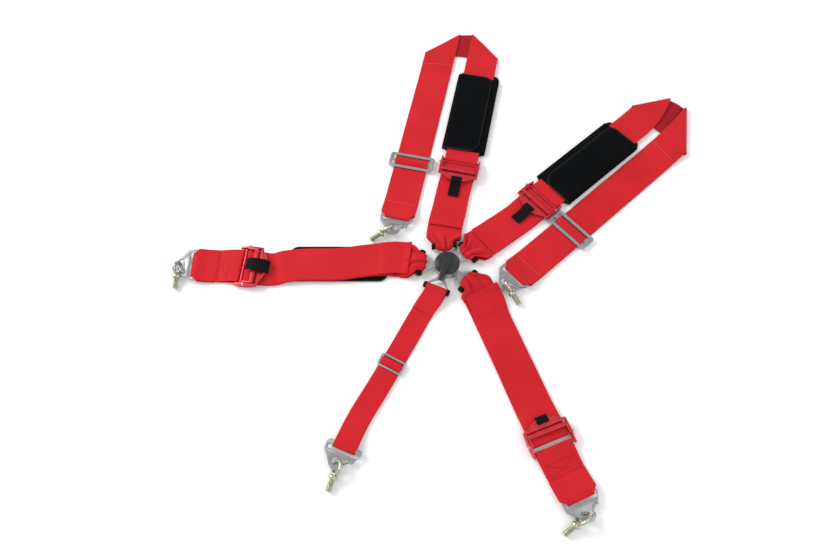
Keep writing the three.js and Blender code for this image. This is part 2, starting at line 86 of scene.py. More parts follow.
BELTS = {
    "shoulder_left": {"heading": 95.2, "reach": 51.0, "span": 54.0},
    "shoulder_right": {"heading": 37.2, "reach": 58.0, "span": 55.0},
    "lap_left": {"heading": 170.2, "reach": 57.0, "span": 58.0},
    "lap_right": {"heading": -37.8, "reach": 56.0, "span": 58.0},
    "crotch": {"heading": -113.8, "reach": 57.0, "span": 58.0},
}
ADJUSTED = [belt for belt in BELTS if belt != "crotch"]
LOCK_PIVOT = {"away": 2.0, "z": 18.3}                   # from an adjuster's own origin
ROD = {"away": 9.2, "z": 10.6, "r": 2.9}
FLAP_HINGE = {"along": 120.0, "side": 47.5, "z": 8.0}   # from a shoulder pad's own origin
STITCH = {"pitch": 3.4, "long": 2.5, "r": 0.42, "proud": 0.12}
COLUMNS = 22                                            # of a strap's mesh, between its edges
RIM = np.array([0, 0.12, 0.45, 1.0])                    # rows at an edge, in half thicknesses
FLOOR = {"half": 6.0, "z": -0.0003}                     # in metres


# ---- camera, light, floor -------------------------------------------------------------------
def camera():
    data = bpy.data.cameras.new("camera")
    data.lens = 30.545
    data.sensor_width = 36
    eye = bpy.data.objects.new("camera", data)
    bpy.context.scene.collection.objects.link(eye)
    eye.location = (-0.0735, -0.6843, 1.3424)
    aim = Vector((-0.0735, -0.015, 0)) - eye.location
    eye.rotation_euler = aim.to_track_quat("-Z", "Y").to_euler()
    bpy.context.scene.camera = eye


def softbox(name, place, size, power):
    data = bpy.data.lights.new(name, "AREA")
    data.shape = "SQUARE"
    data.size = size
    data.energy = power
    light = bpy.data.objects.new(name, data)
    light.location = place
    light.rotation_euler = (Vector((0, 0, 0)) - Vector(place)).to_track_quat("-Z", "Y").to_euler()
    bpy.context.scene.collection.objects.link(light)


def studio():
    world = bpy.data.worlds.new("studio")
    world.use_nodes = True
    background = world.node_tree.nodes["Background"]
    background.inputs["Color"].default_value = (1, 1, 1, 1)
    background.inputs["Strength"].default_value = 0.75
    bpy.context.scene.world = world
    bpy.context.scene.view_settings.view_transform = "Standard"
    softbox("key", (-2.6, 1.2, 2.0), 1.6, 78)
    softbox("fill", (1.6, -0.9, 2.0), 1.8, 12)


# ---- node materials -------------------------------------------------------------------------
class Nodes:
    """A short way to write a node material round one Principled shader."""

    def __init__(self, name, **constants):
        self.material = bpy.data.materials.new(name)
        self.material.use_nodes = True
        self.tree = self.material.node_tree
        self.shader = self.tree.nodes["Principled BSDF"]
        for socket, value in constants.items():
            self.shader.inputs[socket.replace("_", " ")].default_value = value

    def add(self, kind, inputs, **settings):
        node = self.tree.nodes.new(kind)
        for setting, value in settings.items():
            setattr(node, setting, value)
        for key, value in inputs.items():
            self.feed(node.inputs[key], value)
        return node

    def feed(self, socket, value):
        if isinstance(value, bpy.types.NodeSocket):
            self.tree.links.new(value, socket)
        else:
            socket.default_value = value

    def math(self, operation, first, second=0.0):
        return self.add("ShaderNodeMath", {0: first, 1: second}, operation=operation).outputs[0]

    def place(self):
        return self.add("ShaderNodeTexCoord", {}).outputs["Object"]

    def noise(self, scale, detail=3.0, vector=None):
        inputs = {"Vector": vector or self.place(), "Scale": scale, "Detail": detail}
        return self.add("ShaderNodeTexNoise", inputs).outputs["Fac"]

    def spread(self, value, low, high, to_low, to_high):
        inputs = {"Value": value, "From Min": low, "From Max": high, "To Min": to_low, "To Max": to_high}
        return self.add("ShaderNodeMapRange", inputs).outputs[0]

    def mix(self, factor, first, second):
        node = self.tree.nodes.new("ShaderNodeMix")
        node.data_type = "RGBA"
        self.feed(node.inputs[0], factor)
        self.feed(node.inputs[6], first)
        self.feed(node.inputs[7], second)
        return node.outputs[2]

    def bump(self, height, distance, strength=1.0):
        inputs = {"Height": height, "Distance": distance, "Strength": strength}
        self.feed(self.shader.inputs["Normal"], self.add("ShaderNodeBump", inputs).outputs[0])

    def colour(self, value):
        self.feed(self.shader.inputs["Base Color"], value)

    def rough(self, value):
        self.feed(self.shader.inputs["Roughness"], value)


def webbing_material(name, colour, valley_shade, dusty, rib=1.9, pick=1.4, sheen=0.04, gloss=0.12):
    """Woven tape, with painted shade in the valleys of its weave. Its uv map 'weave' counts decimetres
    across and along the strap.
    """
    m = Nodes(name, Sheen_Weight=sheen, Sheen_Roughness=0.5, Specular_IOR_Level=gloss)
    uv = m.add("ShaderNodeUVMap", {}, uv_map="weave").outputs[0]
    split = m.add("ShaderNodeSeparateXYZ", {0: uv})
    across = m.math("MULTIPLY", split.outputs[0], 100 / pick)
    along = m.math("MULTIPLY", split.outputs[1], 100 / rib)
    row = m.math("FLOOR", along)
    ridge = m.math("ABSOLUTE", m.math("SINE", m.math("MULTIPLY", along, math.pi)))
    shifted = m.math("ADD", across, m.math("MULTIPLY", row, 0.5))
    yarn = m.math("ABSOLUTE", m.math("SINE", m.math("MULTIPLY", shifted, math.pi)))
    weave = m.math("MULTIPLY", ridge, m.math("ADD", m.math("MULTIPLY", yarn, 0.55), 0.45))
    m.bump(m.math("ADD", weave, m.math("MULTIPLY", m.noise(900), 0.25)), 0.00022, 0.8)
    broad = m.spread(m.noise(11, 2), 0.35, 0.65, 0.0, 1.0)
    base = m.mix(broad, colour, dusty)
    # The valleys of the weave are painted darker, towards the third colour: painted shade.
    m.colour(m.mix(m.spread(weave, 0.0, 0.75, 0.5, 0.0), base, valley_shade))
    m.rough(m.spread(m.noise(160), 0.3, 0.7, 0.62, 0.78))
    return m.material


def pad_material(name, colour, pale, knit=620.0):
    """Knitted spacer fabric: small round cells, with a faint nap."""
    m = Nodes(name, Sheen_Weight=0.02, Sheen_Roughness=0.45, Specular_IOR_Level=0.05)
    cells = m.add("ShaderNodeTexVoronoi", {"Vector": m.place(), "Scale": knit})
    dip = cells.outputs["Distance"]
    m.bump(m.math("ADD", dip, m.math("MULTIPLY", m.noise(60, 2), 1.2)), 0.0006, 0.55)
    m.colour(m.mix(m.spread(m.noise(24, 4), 0.35, 0.7, 0.0, 0.8), colour, pale))
    m.rough(m.spread(dip, 0.0, 0.6, 0.78, 0.95))
    return m.material


def metal_material(name, colour, worn, rough, metallic=1.0, brush=(1, 1, 1)):
    """Plated, anodised or brushed metal: grain, uneven gloss, and lighter rubbed patches."""
    m = Nodes(name, Metallic=metallic)
    stretched = m.add("ShaderNodeMapping", {"Vector": m.place(), "Scale": brush}).outputs[0]
    lines = m.noise(700, 2, stretched)
    patches = m.noise(70, 4)
    m.bump(lines, 0.00003, 0.6)
    m.colour(m.mix(m.spread(patches, 0.45, 0.75, 0.0, 0.7), colour, worn))
    m.rough(m.spread(m.math("ADD", lines, patches), 0.7, 1.3, rough * 0.8, rough * 1.3))
    return m.material


def zinc_material(name, colour, green, violet, rough):
    """Yellow zinc passivate: pale gold with a thin film that shifts to green and violet in patches."""
    m = Nodes(name, Metallic=1.0)
    film = m.noise(95, 2)
    base = m.mix(m.spread(film, 0.42, 0.55, 0.0, 0.7), colour, green)
    m.colour(m.mix(m.spread(film, 0.56, 0.72, 0.0, 0.5), base, violet))
    m.bump(m.noise(500), 0.00003, 0.5)
    m.rough(m.spread(m.noise(220), 0.35, 0.65, rough * 0.8, rough * 1.4))
    return m.material


def plastic_material(name, colour, pale, rough, gloss=0.4):
    m = Nodes(name, Specular_IOR_Level=gloss)
    m.bump(m.noise(1500, 3), 0.00005, 0.5)
    m.colour(m.mix(m.spread(m.noise(45, 5), 0.5, 0.75, 0.0, 0.6), colour, pale))
    m.rough(m.spread(m.noise(130), 0.35, 0.65, rough * 0.85, rough * 1.2))
    return m.material


def floor_material():
    m = Nodes("studio_floor", Specular_IOR_Level=0.1)
    m.colour(m.mix(m.noise(2, 1), (0.97, 0.97, 0.97, 1), (0.99, 0.99, 0.99, 1)))
    m.rough(0.9)
    return m.material


# Of the three colours of each webbing and thread, the second is the painted shade in the valleys of its
# weave.
RED_WEB = webbing_material("red_webbing_weave", (0.66, 0.017, 0.026, 1), (0.29, 0.004, 0.008, 1),
                           (0.58, 0.014, 0.022, 1))
BLACK_WEB = webbing_material("black_webbing_weave", (0.006, 0.006, 0.007, 1), (0.002, 0.002, 0.002, 1),
                             (0.009, 0.009, 0.010, 1), rib=1.5, pick=1.2, sheen=0.02, gloss=0.06)
# A darker red for the back of the webbing: painted shade for the middle of a folded top.
RED_WEB_BACK_PAINTED_SHADE = webbing_material("red_webbing_back_painted_shade", (0.40, 0.008, 0.014, 1), (0.20, 0.003, 0.006, 1),
                                (0.34, 0.007, 0.012, 1))
THREAD = webbing_material("sewing_thread", (0.80, 0.16, 0.18, 1), (0.5, 0.06, 0.07, 1),
                          (0.74, 0.15, 0.17, 1), rib=0.6, pick=0.5)
RED_THREAD = webbing_material("anchor_thread", (0.40, 0.010, 0.018, 1), (0.24, 0.004, 0.008, 1),
                              (0.36, 0.010, 0.016, 1), rib=0.6, pick=0.5)
DARK_THREAD = webbing_material("pad_thread", (0.012, 0.012, 0.013, 1), (0.004, 0.004, 0.004, 1),
                               (0.016, 0.016, 0.017, 1), rib=0.6, pick=0.5)
PAD_FABRIC = pad_material("pad_knit", (0.0022, 0.0028, 0.0034, 1), (0.004, 0.0048, 0.0056, 1))
BINDING = pad_material("pad_binding", (0.016, 0.018, 0.020, 1), (0.026, 0.028, 0.031, 1), knit=900.0)
RED_METAL = metal_material("red_anodised", (0.60, 0.036, 0.046, 1), (0.68, 0.075, 0.085, 1), 0.34, 0.8)
STEEL = metal_material("tongue_satin_steel", (0.40, 0.41, 0.42, 1), (0.46, 0.47, 0.48, 1), 0.38)
TURNED = metal_material("buckle_turned", (0.46, 0.47, 0.48, 1), (0.56, 0.57, 0.58, 1), 0.28,
                        brush=(1, 1, 12))
SLIDE_STEEL = metal_material("slide_satin", (0.36, 0.39, 0.41, 1), (0.44, 0.47, 0.49, 1), 0.38)
ZINC = metal_material("bright_zinc_plate", (0.33, 0.35, 0.37, 1), (0.38, 0.40, 0.42, 1), 0.40)
YELLOW_ZINC = zinc_material("yellow_zinc_film", (0.56, 0.54, 0.42, 1), (0.44, 0.50, 0.40, 1),
                            (0.50, 0.45, 0.46, 1), 0.26)
KNOB_PLASTIC = plastic_material("knob_moulding", (0.014, 0.016, 0.018, 1), (0.030, 0.033, 0.036, 1), 0.34)
BLACK_PLASTIC = plastic_material("guide_moulding", (0.004, 0.004, 0.005, 1), (0.008, 0.008, 0.009, 1),
                                 0.5, 0.12)
RED_PLASTIC = plastic_material("lever_tip_moulding", (0.10, 0.008, 0.009, 1), (0.16, 0.02, 0.02, 1), 0.4)


# ---- making pieces --------------------------------------------------------------------------
def finish_piece(name, mesh, material, body, node=None, sharp=35.0):
    """Links a mesh as a piece of the object, smooth except at its sharp edges.

    A piece that lies between two bodies is given none here."""
    mesh.materials.clear()
    mesh.materials.append(material)
    mesh.polygons.foreach_set("use_smooth", [True] * len(mesh.polygons))
    mesh.set_sharp_from_angle(angle=math.radians(sharp))
    piece = bpy.data.objects.new(name, mesh)
    bpy.context.scene.collection.objects.link(piece)
    if body:
        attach(piece, body)
    if node:
        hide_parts(node)
    return piece


def mesh_of(name, points, faces, uvs=None):
    """A mesh from points in millimetres; uvs, if given, are one pair for each point, in decimetres."""
    mesh = bpy.data.meshes.new(name)
    mesh.from_pydata((np.asarray(points, float) * MM).tolist(), [], faces)
    if uvs is not None:
        layer = mesh.uv_layers.new(name="weave")
        corners = np.empty(len(mesh.loops), int)
        mesh.loops.foreach_get("vertex_index", corners)
        layer.data.foreach_set("uv", np.asarray(uvs, float)[corners].ravel())
    mesh.update()
    return mesh


def joined(name, parts):
    """One mesh from several (points, faces) pairs."""
    points, faces = [], []
    for part_points, part_faces in parts:
        start = len(points)
        points.extend([tuple(p) for p in part_points])
        faces.extend([tuple(start + i for i in face) for face in part_faces])
    return mesh_of(name, points, faces)


def fitting(name, parts, material, body, node=None, sharp=35.0, woven=False):
    """One piece from several (points, faces) pairs; a woven one has the uv map of the webbing."""
    mesh = joined(name, parts)
    if woven:
        mesh.uv_layers.new(name="weave")
    return finish_piece(name, mesh, material, body, node, sharp)


def machined(node, edge, material, segments=2):
    """A CAD node again, its coplanar triangles merged and its sharp edges rounded."""
    bm = bmesh.new()
    bm.from_mesh(frame["nodes"][node].data)
    bmesh.ops.remove_doubles(bm, verts=bm.verts, dist=2e-6)
    bmesh.ops.dissolve_limit(bm, angle_limit=math.radians(1.0), verts=bm.verts, edges=bm.edges)
    edges = [e for e in bm.edges if len(e.link_faces) == 2 and e.calc_face_angle() > math.radians(28)]
    bmesh.ops.bevel(bm, geom=edges, offset=edge * MM, segments=segments, profile=0.5, affect="EDGES",
                    clamp_overlap=True)
    mesh = bpy.data.meshes.new(f"{node}_finished")
    bm.to_mesh(mesh)
    bm.free()
    return finish_piece(f"{node}_finished", mesh, material, BODY_OF[node], node)


def lathe(profile, sides=64):
    """Points and faces of a profile of (radius, height) turned about Z; it starts and ends on the axis."""
    points = [(0, 0, profile[0][1])]
    rings = []
    for r, z in profile[1:-1]:
        rings.append(range(len(points), len(points) + sides))
        points += [(r * math.cos(a), r * math.sin(a), z)
                   for a in (2 * math.pi * k / sides for k in range(sides))]
    points.append((0, 0, profile[-1][1]))
    last = len(points) - 1
    faces = [(0, rings[0][(k + 1) % sides], rings[0][k]) for k in range(sides)]
    for low, high in zip(rings, rings[1:]):
        faces += [(low[k], low[(k + 1) % sides], high[(k + 1) % sides], high[k]) for k in range(sides)]
    faces += [(rings[-1][k], rings[-1][(k + 1) % sides], last) for k in range(sides)]
    return points, faces


def placed(part, matrix):
    points, faces = part
    return [tuple(matrix @ Vector(p)) for p in points], faces


def skin(count, sides, closed=False):
    """Faces over `count` rings of points, capped unless the last ring is joined to the first."""
    faces = []
    for i in range(count if closed else count - 1):
        a, b = i * sides, (i + 1) % count * sides
        faces += [(a + k, a + (k + 1) % sides, b + (k + 1) % sides, b + k) for k in range(sides)]
    if not closed:
        faces += [tuple(reversed(range(sides))), tuple(range((count - 1) * sides, count * sides))]
    return faces


def tube(path, radius, sides=10, closed=False):
    """Points and faces of a round tube along a path of 3-D points, capped unless it is closed."""
    path = np.asarray(path, float)
    ahead = np.roll(path, -1, 0) - np.roll(path, 1, 0)
    if not closed:
        ahead[0], ahead[-1] = path[1] - path[0], path[-1] - path[-2]
    ahead /= np.linalg.norm(ahead, axis=1)[:, None]
    side = np.cross(ahead, (0.0, 0.0, 1.0))
    flat = np.linalg.norm(side, axis=1) < 1e-3
    side[flat] = np.cross(ahead[flat], (1.0, 0.0, 0.0))
    side /= np.linalg.norm(side, axis=1)[:, None]
    up = np.cross(side, ahead)
    turn = np.arange(sides) * 2 * math.pi / sides
    rings = (path[:, None] + radius * (np.cos(turn)[None, :, None] * side[:, None]
                                       + np.sin(turn)[None, :, None] * up[:, None]))
    return rings.reshape(-1, 3), skin(len(path), sides, closed)


# ---- webbing --------------------------------------------------------------------------------
def distances(points):
    """How far along a line each of its points is."""
    return np.concatenate([[0], np.cumsum(np.linalg.norm(np.diff(points, axis=0), axis=1))])


def interpolate(where, run, points):
    """The 2-D points of a line at given distances along it."""
    return np.stack([np.interp(where, run, points[:, k]) for k in (0, 1)], -1)


def with_rims(size, count, thick):
    """Even places over a size, with closer ones at both of its rounded edges."""
    rim = RIM * thick / 2
    return np.concatenate([rim[:-1], np.linspace(rim[-1], size - rim[-1], count), size - rim[-2::-1]])


class Route:
    """A strap's way over the floor: a centripetal Catmull-Rom curve, straight past its ends."""

    def __init__(self, points):
        p = np.array(points, float)
        p = np.vstack([2 * p[0] - p[1], p, 2 * p[-1] - p[-2]])
        out = []
        for i in range(1, len(p) - 2):
            d0, d1, d2 = (max(np.linalg.norm(p[i + k] - p[i + k - 1]) ** 0.5, 1e-4) for k in (0, 1, 2))
            m1 = ((p[i] - p[i - 1]) / d0 - (p[i + 1] - p[i - 1]) / (d0 + d1) + (p[i + 1] - p[i]) / d1) * d1
            m2 = ((p[i + 1] - p[i]) / d1 - (p[i + 2] - p[i]) / (d1 + d2) + (p[i + 2] - p[i + 1]) / d2) * d1
            t = np.linspace(0, 1, 80, endpoint=False)[:, None]
            out.append((2 * t**3 - 3 * t**2 + 1) * p[i] + (t**3 - 2 * t**2 + t) * m1
                       + (-2 * t**3 + 3 * t**2) * p[i + 1] + (t**3 - t**2) * m2)
        self.points = np.vstack(out + [p[-2:-1]])
        self.run = distances(self.points)
        self.length = self.run[-1]

    def at(self, s):
        """Positions and directions at the distances s."""
        s = np.asarray(s, float)
        held = np.clip(s, 0, self.length)
        point = interpolate(held, self.run, self.points)
        near = [interpolate(np.clip(held + d, 0, self.length), self.run, self.points) for d in (-1.5, 1.5)]
        along = near[1] - near[0]
        along /= np.linalg.norm(along, axis=-1)[..., None]
        return point + along * (s - held)[..., None], along

    def edge(self, s, side):
        point, along = self.at(s)
        return point + np.asarray(side)[..., None] * np.stack([-along[..., 1], along[..., 0]], -1)


def smoothstep(x, low, high):
    t = np.clip((np.asarray(x, float) - low) / (high - low), 0, 1)
    return t * t * (3 - 2 * t)


def taper(s0, w0, s1, w1):
    return lambda s: w0 + (w1 - w0) * smoothstep(s, s0, s1)


def round_bar(s, z, r, start, stop, steps=9):
    turn = np.radians(np.linspace(start, stop, steps))
    reach = r + GAP + CAD_THICK / 2
    return [(s + reach * math.cos(a), z + reach * math.sin(a)) for a in turn]


def softened(path, bend=1.3):
    """The side view of a strap as close points: corners rounded off, closer rows where it bends."""
    path = np.array(path, float)
    run = distances(path)
    dense = interpolate(np.linspace(0, run[-1], int(run[-1] / 0.5) + 2), run, path)
    reach = int(bend * 6)
    kernel = np.exp(-0.5 * (np.arange(-reach, reach + 1) * 0.5 / bend) ** 2)
    kernel /= kernel.sum()
    padded = np.vstack([2 * dense[0] - dense[reach:0:-1], dense, 2 * dense[-1] - dense[-2:-reach - 2:-1]])
    smooth = np.stack([np.convolve(padded[:, k], kernel, "valid") for k in (0, 1)], -1)
    heading = np.unwrap(np.arctan2(np.gradient(smooth[:, 1]), np.gradient(smooth[:, 0])))
    cost = np.concatenate([[0], np.cumsum(0.5 / 3.0 + np.abs(np.diff(heading)) / math.radians(16))])
    pick = np.interp(np.linspace(0, cost[-1], int(cost[-1]) + 2), cost, np.arange(len(cost)))
    return interpolate(pick, np.arange(len(smooth)), smooth)


def rows_on(route, path, width):
    """Rows of a strap: its left and right edges in plan, its height, and the distance along the route."""
    side_view = softened(path)
    s, z = side_view[:, 0], side_view[:, 1]
    half = width(s) / 2
    return {"left": route.edge(s, half), "right": route.edge(s, -half), "z": z, "s": s}


def chain(*stretches):
    return {key: np.concatenate([part[key] for part in stretches]) for key in stretches[0]}


STILL = [np.array(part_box(node)) / MM for node in frame["nodes"]
         if node.startswith(("adjuster_frame", "rear_slide", "crotch_slide", "hook_plate", "tongue"))]


def unevenness(x, y):
    """Slow waves of webbing that lies loose, the same for every layer, and none near the metal parts."""
    wave = (np.sin(x / 23 + 1.3 * np.sin(y / 41)) * np.sin(y / 27 + 1.1 * np.sin(x / 35))
            + 0.6 * np.sin((x + y) / 17 + 2.0) * np.sin((x - y) / 31))
    calm = np.ones_like(x)
    for low, high in STILL:
        away = np.hypot(np.maximum(np.maximum(low[0] - x, x - high[0]), 0),
                        np.maximum(np.maximum(low[1] - y, y - high[1]), 0))
        calm = np.minimum(calm, smoothstep(away, 4, 46))
    return 0.55 * calm * (1.0 + wave)


def strap_surface(rows, columns, gather, thick):
    """Middle surface of a strap, its unit normals, and places across and along it, in millimetres."""
    width = np.median(np.linalg.norm(rows["left"] - rows["right"], axis=1))
    u = with_rims(1, columns, thick / width)
    middle = rows["left"][:, None] * (1 - u)[None, :, None] + rows["right"][:, None] * u[None, :, None]
    height = np.repeat(rows["z"][:, None], len(u), 1)
    surface = np.dstack([middle, height])
    surface[..., 2] += unevenness(surface[..., 0], surface[..., 1])
    if gather is not None:
        surface += gather(rows["s"][:, None], u[None, :], rows["z"][:, None])
    along = np.gradient(surface, axis=0)
    across = np.gradient(surface, u, axis=1)
    normal = np.cross(across, along)
    normal /= np.maximum(np.linalg.norm(normal, axis=-1), 1e-9)[..., None]
    return surface, normal, u * width, distances(surface[:, len(u) // 2])


def strap_mesh(name, surface, normal, across, run, thick):
    """A closed strip round its middle surface, with rounded edges and ends."""
    count, columns = surface.shape[:2]
    inset = np.minimum(across, across[-1] - across)[None, :]
    ends = np.minimum(run, run[-1] - run)[:, None]
    rim = np.clip(np.minimum(inset, ends + 0.12) / (thick / 2), 0, 1)
    half = thick / 2 * np.sqrt(np.maximum(1 - (1 - rim) ** 2, 0.02))
    top = surface + normal * half[..., None]
    low = surface - normal * half[..., None]
    points = np.concatenate([top, low[:, ::-1]], axis=1)
    ring = 2 * columns
    index = np.arange(count * ring).reshape(count, ring)
    a, b = index[:-1], index[1:]
    faces = np.stack([a, np.roll(a, -1, 1), np.roll(b, -1, 1), b], -1).reshape(-1, 4).tolist()
    for row, flip in ((0, False), (count - 1, True)):
        for k in range(columns - 1):
            quad = (index[row, k], index[row, ring - 1 - k], index[row, ring - 2 - k], index[row, k + 1])
            faces.append(tuple(int(i) for i in (reversed(quad) if flip else quad)))
    uvs = np.empty((count, ring, 2))
    uvs[..., 0] = np.concatenate([across, across[::-1]])[None, :] / 100
    uvs[..., 1] = run[:, None] / 100
    mesh = mesh_of(name, points.reshape(-1, 3), faces, uvs.reshape(-1, 2))
    bm = bmesh.new()
    bm.from_mesh(mesh)
    bmesh.ops.recalc_face_normals(bm, faces=bm.faces)
    bm.to_mesh(mesh)
    bm.free()
    return mesh


def stitches(surface, normal, across, run, lines, thick):
    """Small raised stitches along straight lines, each from (run, across) to (run, across) of the strap."""

    def raised(place, lift):
        """A point above the strap, blended from the four points of its surface round it."""
        row, column = (np.interp(value, table, np.arange(len(table)))
                       for value, table in zip(place, (run, across)))
        i, j = min(int(row), len(run) - 2), min(int(column), len(across) - 2)
        fi, fj = row - i, column - j
        blend = [(i, j, (1 - fi) * (1 - fj)), (i + 1, j, fi * (1 - fj)),
                 (i, j + 1, (1 - fi) * fj), (i + 1, j + 1, fi * fj)]
        return sum(w * (surface[p, q] + normal[p, q] * lift) for p, q, w in blend)

    reach = STITCH["long"] / STITCH["pitch"] / 2
    low, high = thick / 2 - STITCH["proud"], thick / 2 + STITCH["proud"]
    parts = []
    for start, stop in np.array(lines):
        steps = max(2, int(math.hypot(*(stop - start)) / STITCH["pitch"]))
        for k in range(steps):
            arch = [raised(start + (stop - start) * ((k + 0.5 + shift) / steps), lift)
                    for shift, lift in ((-reach, low), (0, high), (reach, low))]
            parts.append(tube(arch, STITCH["r"], 6))
    return parts


def strap(name, rows, body, nodes, material=RED_WEB, gather=None,
          columns=COLUMNS, sewn=(), thread=THREAD):
    """A strap and its stitching. sewn holds lines, each between two (from start or end, across) places."""
    surface, normal, across, run = strap_surface(rows, columns, gather, THICK)
    piece = finish_piece(name, strap_mesh(name, surface, normal, across, run, THICK), material, body,
                         sharp=60.0)
    for node in nodes:
        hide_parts(node)
    if sewn:
        lines = [[(run[-1] + r if r < 0 else r, c * across[-1]) for r, c in line] for line in sewn]
        fitting(f"{name}_stitching", stitches(surface, normal, across, run, lines, THICK), thread, body,
                sharp=80.0, woven=True)
    return piece


def hemmed(path, long):
    """Folds the loose end of a path under itself, so that it ends twice as thick."""
    tail = [path[-1]]
    for point in reversed(path[:-1]):
        if point[0] <= tail[-1][0]:
            break
        tail.append(point)
    s_tail, z_tail = np.array(tail).T
    end = s_tail[0]

    def height(s):
        return float(np.interp(s, s_tail, z_tail))

    fold = 2.15
    kept = path[:len(path) - len(tail)] + [p for p in reversed(tail) if p[0] > end + long + 10]
    over = [(s, height(s) + fold) for s in np.linspace(end + long, end + 1.4, 5)]
    turn = [(end + 0.2, height(end) + fold - 0.5), (end + 0.2, height(end) + 0.5)]
    under = [(s, height(s)) for s in np.linspace(end + 1.4, end + long - 2, 5)]
    return kept + [(end + long + 9, height(end + long + 9))] + over + turn + under


TONGUE_LOOP = ([(40, LAYER), (14, 4)] + round_bar(0, BAR_Z, TONGUE["guide_r"], 265, 95, 13)
               + [(12, 13.8), (45, 5)])


def hook_loop(length, back):
    return [(length - 62, SECOND), (length - 32, 8.6), (length - 14, 13.8), (length - 4.5, 13.8),
            (length - 2.2, 12.2), (length - 2.2, 8.8), (length - 4.5, 7.2), (length - 14, 7.2),
            (length - 34, 3.6), (length - 52, LAYER), (back, LAYER)]


def over_slide(s, size, low, high):
    half = size["long"] / 2
    return [(s - half - 6, low), (s - half + size["rail"] + 0.5, max(low, 3.6)),
            (s - size["bar"] - 1, 10.5), (s + size["bar"] + 1, 10.5),
            (s + half - size["rail"] - 0.5, high), (s + half + 6, high)]


def adjusted_path(length, low, high):
    return (TONGUE_LOOP + low + [(length - 24, 3.4)]
            + round_bar(length, ADJUSTER["bar_z"], ADJUSTER["bar_r"], -90, 90, 11)
            + [(length - 12, 13), (length - 30, 9.6)] + high)


def drawn_in(belt):
    """Width of wide webbing: narrow between the tongue's arms, full a little way out."""
    return taper(2, BELTS[belt]["span"] - 2 * TONGUE["arm"] - 6, 24, WIDE)


def hook_end(length):
    """Width of wide webbing whose corners are folded in to pass the hook's slot."""
    return taper(length - 16, WIDE, length - 4, 56)


def tongue_route(belt, points):
    heading, reach = math.radians(BELTS[belt]["heading"]), BELTS[belt]["reach"]
    out = [(r * math.cos(heading), r * math.sin(heading)) for r in (reach, reach + 14)]
    return Route(out + points)


def gather_folds(belt, phase):
    """Folds of wide webbing drawn in at a tongue, which also bulges towards the buckle between the arms."""
    heading = math.radians(BELTS[belt]["heading"])
    height, bow = 5.5, 6.0

    def fold(s, u, z):
        reach = smoothstep(s, -8, 10) * (1 - smoothstep(s, 16, 40))
        upper = smoothstep(z, 3.0, 9.0)
        spread = (u - 0.5) * (1.4 - 0.5 * smoothstep(s, 0, 40))
        shape = (0.5 + 0.5 * np.cos(2 * math.pi * (2.3 * spread + phase))
                 + 0.35 * np.cos(2 * math.pi * (3.7 * spread - 0.6 * phase + s / 60)))
        lift = height * reach * (0.15 + 0.85 * upper) * shape * (0.35 + 0.65 * upper)
        ripple = 1.3 * np.cos(2 * math.pi * (2.3 * spread + phase))
        pull = (bow * (1 - (2 * u - 1) ** 2) + ripple) * (1 - smoothstep(s, 2, 28))
        return np.stack([-math.cos(heading) * pull, -math.sin(heading) * pull, lift], -1)
    return fold


def cross_stitch(at):
    """A line of stitches across the strap, `at` from its start, or from its end if negative."""
    return [(at, 0.05), (at, 0.95)]


def box_stitch(near, far):
    """A sewn box with its diagonals."""
    return [[(near, 0.08), (near, 0.92)], [(far, 0.08), (far, 0.92)], [(near, 0.08), (far, 0.92)],
            [(near, 0.92), (far, 0.08)]]


# ---- straps ---------------------------------------------------------------------------------
def lower_belt(belt, points, tail, phase, hem):
    route = tongue_route(belt, points)
    path = adjusted_path(route.length, [(60, LAYER), (route.length - 60, LAYER)],
                         [(route.length - 62, SECOND)] + tail)
    rows = rows_on(route, hemmed(path, hem), drawn_in(belt))
    strap(f"{belt}_lower_webbing", rows, BODY_OF[f"{belt}_lower_belt"], [f"{belt}_lower_belt"],
          gather=gather_folds(belt, phase), sewn=[cross_stitch(-2 * hem + 2)])
    return route.at(route.length)


